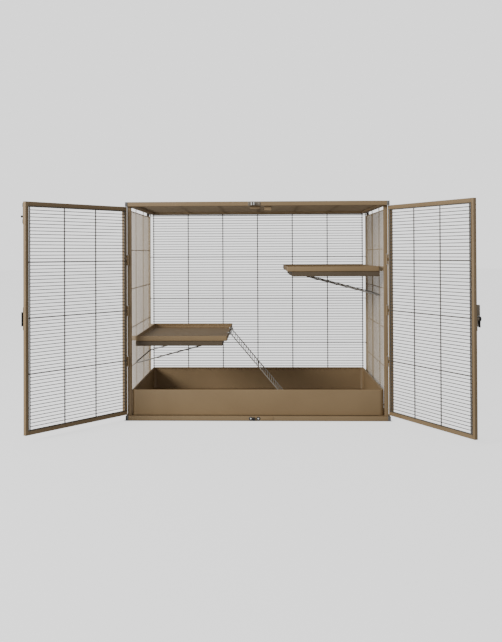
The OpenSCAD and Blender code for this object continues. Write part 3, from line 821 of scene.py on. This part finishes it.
# ---- Doors ----
# Each leaf is four lengths of square tube, welded into a frame and closed at the corners, with a
# panel of welded wire on the inside. They are made shut here and turned out to where they stand.

leaf_corner = 0.0009
leaf_bay = 0.141
bay_start = 0.01095
free_bar = 0.0062
hinge_bar = 0.0066
edge_bar = 0.00095
bar_lap = 0.001
door_stiff = (0, 16, 32, 48, 64)
row_sink = -0.5


def opened(joint_name):
    """The turn that takes a door from shut to where it is shown."""
    joint = joints[joint_name]
    hinge = Vector(joint["pos_m"])
    turn = Matrix.Rotation(-math.radians(joint["range_deg"][0]), 4, Vector(joint["axis"]))
    return Matrix.Translation(hinge) @ turn @ Matrix.Translation(-hinge)


def shut_box(node, turn):
    """Lowest and highest corner of a door's node once the door is shut."""
    back = turn.inverted()
    points = [back @ vertex.co for vertex in frame["nodes"][node].data.vertices]
    return (Vector([min(p[k] for p in points) for k in range(3)]),
            Vector([max(p[k] for p in points) for k in range(3)]))


open_turn = {-1: opened("left_door_swing"), 1: opened("right_door_swing")}
for side, name in ((-1, "left_door"), (1, "right_door")):
    turn = open_turn[side]
    for part in ("hinge_stile", "free_stile", "top_rail", "bottom_rail"):
        node, bm = f"{name}_{part}", bmesh.new()
        if part.endswith("stile"):
            eased_block(bm, *shut_box(node, turn), leaf_corner)
        else:
            square_tube(bm, *shut_box(node, turn), 0, leaf_corner)
        finish_piece(f"{node}_tube", bm, name, tube_coat, [node], turn)
    low, high = shut_box(f"{name}_mesh", turn)
    free_x, hinge_x = (low.x, high.x) if side > 0 else (high.x, low.x)
    first_bar, last_bar = free_x + side * free_bar, hinge_x - side * hinge_bar
    bars = [(free_x + side * edge_bar, "fine"), (first_bar, "stiff"), (last_bar, "stiff")]
    bars += [(free_x + side * (bay_start + k * leaf_bay), "stiff") for k in (1, 2)]
    weld_panel(f"{name}_wires", panel_stations(
        low.y + bar_lap, numbered(low.z + edge_inset, door_stiff[-1], door_stiff), bars, 0, 2, row_sink,
        ((low.x, high.x), (low.z, high.z)),
        sorted((first_bar - side * bar_lap, last_bar + side * bar_lap))), name, f"{name}_mesh", turn=turn)

# ---- Hinges ----
# Three loose-pin hinges to a door. Two rolled knuckles are welded to the front of the post and one to
# the back of the stile, and a plated pin with a domed head drops through all three.

knuckle_radius = 0.0039
knuckle_height = 0.012
hinge_pitch = 0.183
knuckle_step = 0.0123
face_off = 0.004
tab_thick = 0.0014
tab_reach = 0.0035
tab_lap = 0.001
tab_edge = 0.0004
pin_reach = 0.0198


def rolled_knuckle(bm, hinge, z, side, face):
    """A knuckle round the hinge line with the tab it was rolled from; face is 1 post, -1 door."""
    ring_round(
        bm, (hinge.x, hinge.y, z - knuckle_height / 2), (0, 0, 1), pin_radius + eye_play, knuckle_radius,
        knuckle_height)
    ends_y = sorted((hinge.y + face * face_off, hinge.y + face * (face_off - tab_thick)))
    ends_x = sorted((hinge.x - side * tab_reach, hinge.x + side * tab_lap))
    eased_block(
        bm, (ends_x[0], ends_y[0], z - knuckle_height / 2), (ends_x[1], ends_y[1], z + knuckle_height / 2), tab_edge)


on_posts, pins = bmesh.new(), bmesh.new()
for side, name in SIDES:
    hinge = Vector(joints[f"{name}_door_swing"]["pos_m"])
    on_door = bmesh.new()
    for k in (-1, 0, 1):
        z = hinge.z + k * hinge_pitch
        rolled_knuckle(on_posts, hinge, z - knuckle_step, side, 1)
        rolled_knuckle(on_posts, hinge, z + knuckle_step, side, 1)
        rolled_knuckle(on_door, hinge, z, side, -1)
        turned_piece(pins, [
            (0.0012, -pin_reach), (pin_radius, -pin_reach + 0.0008), (pin_radius, knuckle_step + 0.0061),
            (0.0032, knuckle_step + 0.0062), (0.0032, knuckle_step + 0.0070), (0.0026, knuckle_step + 0.0078),
            (0.0014, knuckle_step + 0.0082)], (hinge.x, hinge.y, z), (0, 0, 1))
    finish_piece(
        f"{name}_door_hinge_knuckles", on_door, f"{name}_door", tube_coat,
        [f"{name}_door_knuckles"], open_turn[side])
finish_piece("post_hinge_knuckles", on_posts, "cage", tube_coat, ["post_knuckles"])
finish_piece("hinge_pin_set", pins, "cage", zinc, ["hinge_pins"])

# ---- Stops on the front rails ----
# Two flat tabs hang behind the top rail and stop the leaves when they shut. A thin plate on the
# face of the bottom rail does the same below. All are welded on before the frame is coated.

low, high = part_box("door_stop_tabs")
tab_spans = ((-0.023, 0.013, 0.760), (0.028, 0.053, 0.754))
bm = bmesh.new()
for first_x, last_x, foot_z in tab_spans:
    eased_block(bm, (first_x, low.y, foot_z), (last_x, high.y, high.z), sheet_edge, along=1)
finish_piece("door_stop_plates", bm, "cage", tube_coat, ["door_stop_tabs"])

bm = bmesh.new()
eased_block(bm, *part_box("bottom_stop_plate"), sheet_edge, along=1)
finish_piece("bottom_stop_sheet", bm, "cage", sheet_coat, ["bottom_stop_plate"])

# ---- Keeper and catch on the front rails ----
# A zinc plate with a bent staple takes the sliding bolt at the top; two pan-head screws hold it. At
# the bottom a black block between two screws catches the foot of the left leaf; black rings round
# the screw heads are painted shade.

slot_width = 0.0007
slot_depth = 0.0006
screw_inset = 0.004
keeper_edge = 0.0005
block_edge = 0.0012
staple_leg = 0.0028
staple_edge = 0.0007
staple_side = 0.0010
face_inset = 0.0020
face_back = 0.0006
tall_head = 0.0022
shade_ring_bore, shade_ring_radius, shade_ring_height = 0.0030, 0.0066, 0.0016

# Dark zinc for the bolt base; on the staple's face the same dark is a painted reflection.
dark_zinc_and_painted_reflection = zinc_plate(
    "dark_zinc_and_painted_reflection", roughness=0.50, dull=(0.13, 0.122, 0.105), bright=(0.20, 0.188, 0.162), metal=0.4)
dull_zinc = zinc_plate(
    "dull_zinc", roughness=0.50, dull=(0.24, 0.20, 0.15), bright=(0.31, 0.265, 0.21), metal=0.5)
# Near white and barely metallic: a painted highlight for the bright plating of the staple legs, screw heads and
# stud.
painted_highlight_zinc = zinc_plate(
    "painted_highlight_zinc", roughness=0.30, dull=(0.92, 0.91, 0.88), bright=(0.97, 0.96, 0.94), metal=0.05)


def pan_screw(bm, seat, radius=0.0032, height=0.0018):
    """A pan-head screw that looks to the front: a domed head with a cross recess cut in it."""
    out = Vector((0, -1, 0))
    turned_piece(bm, [
        (radius, 0), (radius, height * 0.35), (radius * 0.92, height * 0.68), (radius * 0.70, height * 0.90),
        (radius * 0.46, height)], seat, out, sides=20)
    across = out.orthogonal().normalized()
    for arm in (across, out.cross(across)):
        beside = out.cross(arm)
        top = Vector(seat) + out * (height + 0.00005)
        ring = [top + arm * (radius * 0.42 * a) + beside * (slot_width / 2 * b)
                for a, b in ((-1, -1), (1, -1), (1, 1), (-1, 1))]
        skin_over(bm, [[point - out * slot_depth for point in ring], ring])


keeper_low, keeper_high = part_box("top_keeper_plate")
screw_x = (keeper_low.x + screw_inset, keeper_high.x - screw_inset)
keeper_z = (keeper_low.z + keeper_high.z) / 2
bm = bmesh.new()
eased_block(bm, keeper_low, keeper_high, keeper_edge, along=1)
finish_piece("top_keeper_sheet", bm, "cage", dull_zinc, ["top_keeper_plate"])

bm = bmesh.new()
for x in screw_x:
    pan_screw(bm, (x, keeper_low.y, keeper_z))
finish_piece("top_keeper_screw_set", bm, "cage", dull_zinc, ["top_keeper_screws"])

low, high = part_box("top_keeper_staple")
bm = bmesh.new()
for x in (low.x, high.x - staple_leg):
    eased_block(bm, (x, low.y, low.z), (x + staple_leg, low.y + strap, high.z), staple_edge)
for x in (low.x, high.x - strap):
    eased_block(bm, (x, low.y + staple_side, low.z), (x + strap, high.y, high.z), sheet_edge)
finish_piece("top_keeper_strap", bm, "cage", painted_highlight_zinc, ["top_keeper_staple"])
# The face between the staple's legs is set back and coloured dark: a painted reflection between the painted
# highlights on its bends.
bm = bmesh.new()
eased_block(
    bm, (low.x + face_inset, low.y + face_back, low.z), (high.x - face_inset, low.y + strap, high.z), tab_edge)
finish_piece("top_keeper_strap_painted_reflection_face", bm, "cage", dark_zinc_and_painted_reflection, [])

bm = bmesh.new()
eased_block(bm, *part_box("bottom_catch_block"), block_edge)
finish_piece("bottom_catch_moulding", bm, "cage", black_plastic, ["bottom_catch_block"])

# The black rings round the two screw heads are painted shade, for the holes the heads sit in.
low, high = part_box("bottom_catch_screws")
bm, shade_rings = bmesh.new(), bmesh.new()
for x in (low.x + screw_inset, high.x - screw_inset):
    seat = Vector((x, high.y, (low.z + high.z) / 2))
    ring_round(shade_rings, seat, (0, -1, 0), shade_ring_bore, shade_ring_radius, shade_ring_height)
    pan_screw(bm, seat, height=tall_head)
finish_piece("bottom_catch_screw_set", bm, "cage", painted_highlight_zinc, ["bottom_catch_screws"])
finish_piece("bottom_catch_painted_shade_rings", shade_rings, "cage", black_plastic, [])

# ---- Barrel bolt ----
# A plated barrel bolt at the top of the left leaf: a pressed base with two loops, a round rod that
# slides up into the staple, and a black knob pushed into the rod.

loop_height = 0.012
loop_wall = 0.0014
loop_inset = 0.002
bolt_sheet = 0.0012
bolt_screws = (0.022, 0.046)
small_screw = (0.0022, 0.0012)
rod_edge = 0.0009
cheek_edge = 0.0003

turn = open_turn[-1]
low, high = shut_box("bolt_base", turn)
rod_low, rod_high = shut_box("bolt_rod", turn)
knob_low, knob_high = shut_box("bolt_knob", turn)
rod_x, rod_y = (rod_low.x + rod_high.x) / 2, (rod_low.y + rod_high.y) / 2
rod_radius = (rod_high.x - rod_low.x) / 2
bm = bmesh.new()
eased_block(bm, (low.x, high.y - bolt_sheet, low.z), (high.x, high.y, high.z), keeper_edge, along=1)
for z in (low.z + loop_inset, high.z - loop_inset - loop_height):
    ring_round(bm, (rod_x, rod_y, z), (0, 0, 1), rod_radius + eye_play, rod_radius + loop_wall, loop_height)
    for x in (rod_x - rod_radius - loop_wall, rod_x + rod_radius + loop_wall - bolt_sheet):
        eased_block(bm, (x, rod_y, z), (x + bolt_sheet, high.y - bolt_sheet / 2, z + loop_height), cheek_edge)
for up in bolt_screws:
    pan_screw(bm, (rod_x, high.y - bolt_sheet, low.z + up), *small_screw)
finish_piece("bolt_pressed_base", bm, "left_door", dark_zinc_and_painted_reflection, ["bolt_base"], turn)

bm = bmesh.new()
eased_rod(bm, (rod_x, rod_y, rod_low.z), (0, 0, 1), rod_radius, rod_high.z - rod_low.z, rod_edge)
finish_piece("bolt_round_rod", bm, "bolt", dull_zinc, ["bolt_rod"], turn)

stem = knob_high.y - knob_low.y
bm = bmesh.new()
turned_piece(bm, [
    (0.0022, 0), (0.0022, stem * 0.55), (0.0026, stem * 0.62), (0.0038, stem * 0.70), (0.0040, stem * 0.82),
    (0.0036, stem * 0.93), (0.0024, stem)], (rod_x, knob_high.y, (knob_low.z + knob_high.z) / 2), (0, -1, 0))
finish_piece("bolt_push_knob", bm, "bolt", black_plastic, ["bolt_knob"], turn)

# ---- Mid catch ----
# The left leaf carries a pressed keeper. The right leaf carries the latch: a plated base with a
# ribbed case, a stud, and a black handle that turns a steel tongue behind the keeper.

plate_sheet = 0.002
plate_edge = 0.0008
hood_edge = 0.0007
hood_gap = 0.0002
hood_wall = 0.003
hood_top = 0.004
hood_span = (-0.025, 0.021)
sheet_lap = 0.001
keeper_screws = (-0.029, 0.029)
case_above = 0.0092
case_half = 0.006
case_gap = 0.0008
rib_count = 5
rib_half = 0.0052
rib_first = 0.004
rib_step = 0.0048
rib_high = 0.0022
hub_bore = 0.00306
hub_radius = 0.0085
hub_length = 0.008
tongue_round = 0.007
tongue_half = 0.004
tongue_y = (0.0026, 0.0050)
latch_screw = 0.006

black_zinc = zinc_plate(
    "black_zinc", roughness=0.42, dull=(0.020, 0.019, 0.016), bright=(0.036, 0.034, 0.029), metal=0.3)
turn = open_turn[-1]
low, high = shut_box("mid_keeper", turn)
middle_z = (low.z + high.z) / 2
middle_x = (low.x + high.x) / 2
bm = bmesh.new()
eased_block(bm, (low.x, high.y - plate_sheet, low.z), (high.x, high.y, high.z), plate_edge, along=1)
foot_z, head_z = [middle_z + up for up in hood_span]
eased_block(bm, (low.x, low.y, foot_z), (high.x, low.y + plate_sheet, head_z), hood_edge, along=1)
for last_x, from_z in ((low.x + hood_wall, foot_z), (high.x, head_z - hood_top)):
    eased_block(bm, (low.x, low.y + hood_gap, from_z), (last_x, high.y - sheet_lap, head_z), hood_edge)
finish_piece("mid_keeper_pressing", bm, "left_door", black_zinc, ["mid_keeper"], turn)

bm = bmesh.new()
for dz in keeper_screws:
    pan_screw(bm, (middle_x, high.y - plate_sheet, middle_z + dz))
finish_piece("mid_keeper_screw_set", bm, "left_door", zinc, ["mid_keeper_screws"], turn)

turn = open_turn[1]
low, high = shut_box("latch_base", turn)
stud_low, stud_high = shut_box("latch_stud", turn)
stud_x, stud_z = (stud_low.x + stud_high.x) / 2, (stud_low.z + stud_high.z) / 2
bm = bmesh.new()
eased_block(bm, (low.x, high.y - plate_sheet, low.z), (high.x, high.y, high.z), plate_edge, along=1)
case_foot = stud_z + case_above
eased_block(
    bm, (stud_x - case_half, low.y + case_gap, case_foot), (stud_x + case_half, high.y - sheet_lap, high.z),
    block_edge)
for k in range(rib_count):
    z = case_foot + rib_first + k * rib_step
    eased_block(
        bm, (stud_x - rib_half, low.y, z), (stud_x + rib_half, low.y + hood_wall, z + rib_high), block_edge / 2)
pan_screw(bm, (stud_x, high.y - plate_sheet, low.z + latch_screw))
finish_piece("latch_pressed_base", bm, "right_door", dull_zinc, ["latch_base"], turn)

reach = stud_high.y - stud_low.y
bm = bmesh.new()
turned_piece(bm, [
    (0.003, 0), (0.003, reach - 0.0022), (0.005, reach - 0.0020), (0.005, reach - 0.0010),
    (0.0042, reach - 0.0003), (0.0026, reach)], (stud_x, stud_high.y, stud_z), (0, -1, 0))
finish_piece("latch_turned_stud", bm, "right_door", painted_highlight_zinc, ["latch_stud"], turn)

handle_low, handle_high = shut_box("latch_handle", turn)
bm = bmesh.new()
ring_round(bm, (stud_x, handle_high.y, stud_z), (0, -1, 0), hub_bore, hub_radius, hub_length)
lever = []
for down, half_width, front, back in (
        (0.0050, 0.0045, 0.0000, 0.0060), (0.0110, 0.0042, 0.0002, 0.0052), (0.0180, 0.0042, 0.0004, 0.0044),
        (0.0240, 0.0044, 0.0000, 0.0044), (0.0270, 0.0040, 0.0004, 0.0036)):
    mid_y = handle_low.y + (front + back) / 2
    outline = rounded_outline(half_width, (back - front) / 2, block_edge, 3)
    lever.append(stood(outline, 2, stud_z - down, (stud_x, mid_y, 0)))
skin_over(bm, lever)
finish_piece("latch_black_handle", bm, "latch", black_plastic, ["latch_handle"], turn)

tongue_low, tongue_high = shut_box("latch_tongue", turn)
bm = bmesh.new()
ring_round(
    bm, (stud_x, tongue_high.y, stud_z), (0, -1, 0), hub_bore, tongue_round, tongue_high.y - tongue_low.y)
eased_block(
    bm, (stud_x - tongue_half, tongue_low.y + tongue_y[0], tongue_low.z),
    (stud_x + tongue_half, tongue_low.y + tongue_y[1], stud_z - tongue_half), hood_edge, along=1)
finish_piece("latch_steel_tongue", bm, "latch", dull_zinc, ["latch_tongue"], turn)

# ---- Floor and light ----
# A pale seamless floor under a white sky, lit by one broad soft light in front on the left and a weak
# one on the right, as in a catalogue studio. None of it is part of the cage.

floor_size = 60.0
sky_light = 0.38
sky_seen = 1.6
floor_glow = 1.34
floor_shade = (0.38, 0.38, 0.38, 1)
painted_shadow_footprint = (0.47, -0.010, 0.645)
painted_shadow_edge = 0.012

bm = bmesh.new()
bmesh.ops.create_grid(bm, x_segments=2, y_segments=2, size=floor_size / 2)
mesh = bpy.data.meshes.new("floor")
bm.to_mesh(mesh)
bm.free()
floor = bpy.data.objects.new("floor", mesh)
bpy.context.scene.collection.objects.link(floor)
floor_paint, tree, shader, place = blank_finish("floor_paint")
shader.inputs["Base Color"].default_value = floor_shade
shader.inputs["Roughness"].default_value = 0.9
shader.inputs["Emission Color"].default_value = (1, 1, 1, 1)
seen = add_node(tree, "ShaderNodeLightPath").outputs["Is Camera Ray"]
# Under the cage and just in front of it the floor doesn't glow: a painted contact shadow, so that the bottom rail
# has a dark edge to stand on.
half_wide, front_edge, back_edge = painted_shadow_footprint
spot = add_node(tree, "ShaderNodeSeparateXYZ", {"Vector": place}).outputs
sideways = calculate(tree, "ABSOLUTE", spot["X"])
open_floor = []
for distance, edge, sense in ((sideways, half_wide, 1), (spot["Y"], back_edge, 1), (spot["Y"], front_edge, -1)):
    open_floor.append(add_node(tree, "ShaderNodeMapRange", {
        "Value": distance, "From Min": edge, "From Max": edge + sense * painted_shadow_edge}).outputs["Result"])
around = calculate(tree, "MAXIMUM", calculate(tree, "MAXIMUM", *open_floor[:2]), open_floor[2])
glow = calculate(tree, "MULTIPLY", seen, calculate(tree, "MULTIPLY", around, floor_glow))
tree.links.new(glow, shader.inputs["Emission Strength"])
mesh.materials.append(floor_paint)

sky = bpy.data.worlds.new("sky")
sky.use_nodes = True
tree = sky.node_tree
seen = add_node(tree, "ShaderNodeLightPath").outputs["Is Camera Ray"]
strength = add_node(tree, "ShaderNodeMapRange", {"Value": seen, "To Min": sky_light, "To Max": sky_seen})
tree.nodes["Background"].inputs["Color"].default_value = (1, 1, 1, 1)
tree.links.new(strength.outputs["Result"], tree.nodes["Background"].inputs["Strength"])
bpy.context.scene.world = sky

for name, place, target, size, power in (
        ("light_front_left", (-3.3, -2.9, 1.9), (0, 0.1, 0.4), 1.6, 176.0),
        ("light_front_right", (2.8, -3.0, 1.2), (0, 0.1, 0.4), 1.6, 9.0)):
    lamp = bpy.data.lights.new(name, "AREA")
    lamp.shape = "DISK"
    lamp.size = size
    lamp.energy = power
    light = bpy.data.objects.new(name, lamp)
    light.location = place
    light.rotation_euler = (Vector(target) - Vector(place)).to_track_quat("-Z", "Y").to_euler()
    bpy.context.scene.collection.objects.link(light)
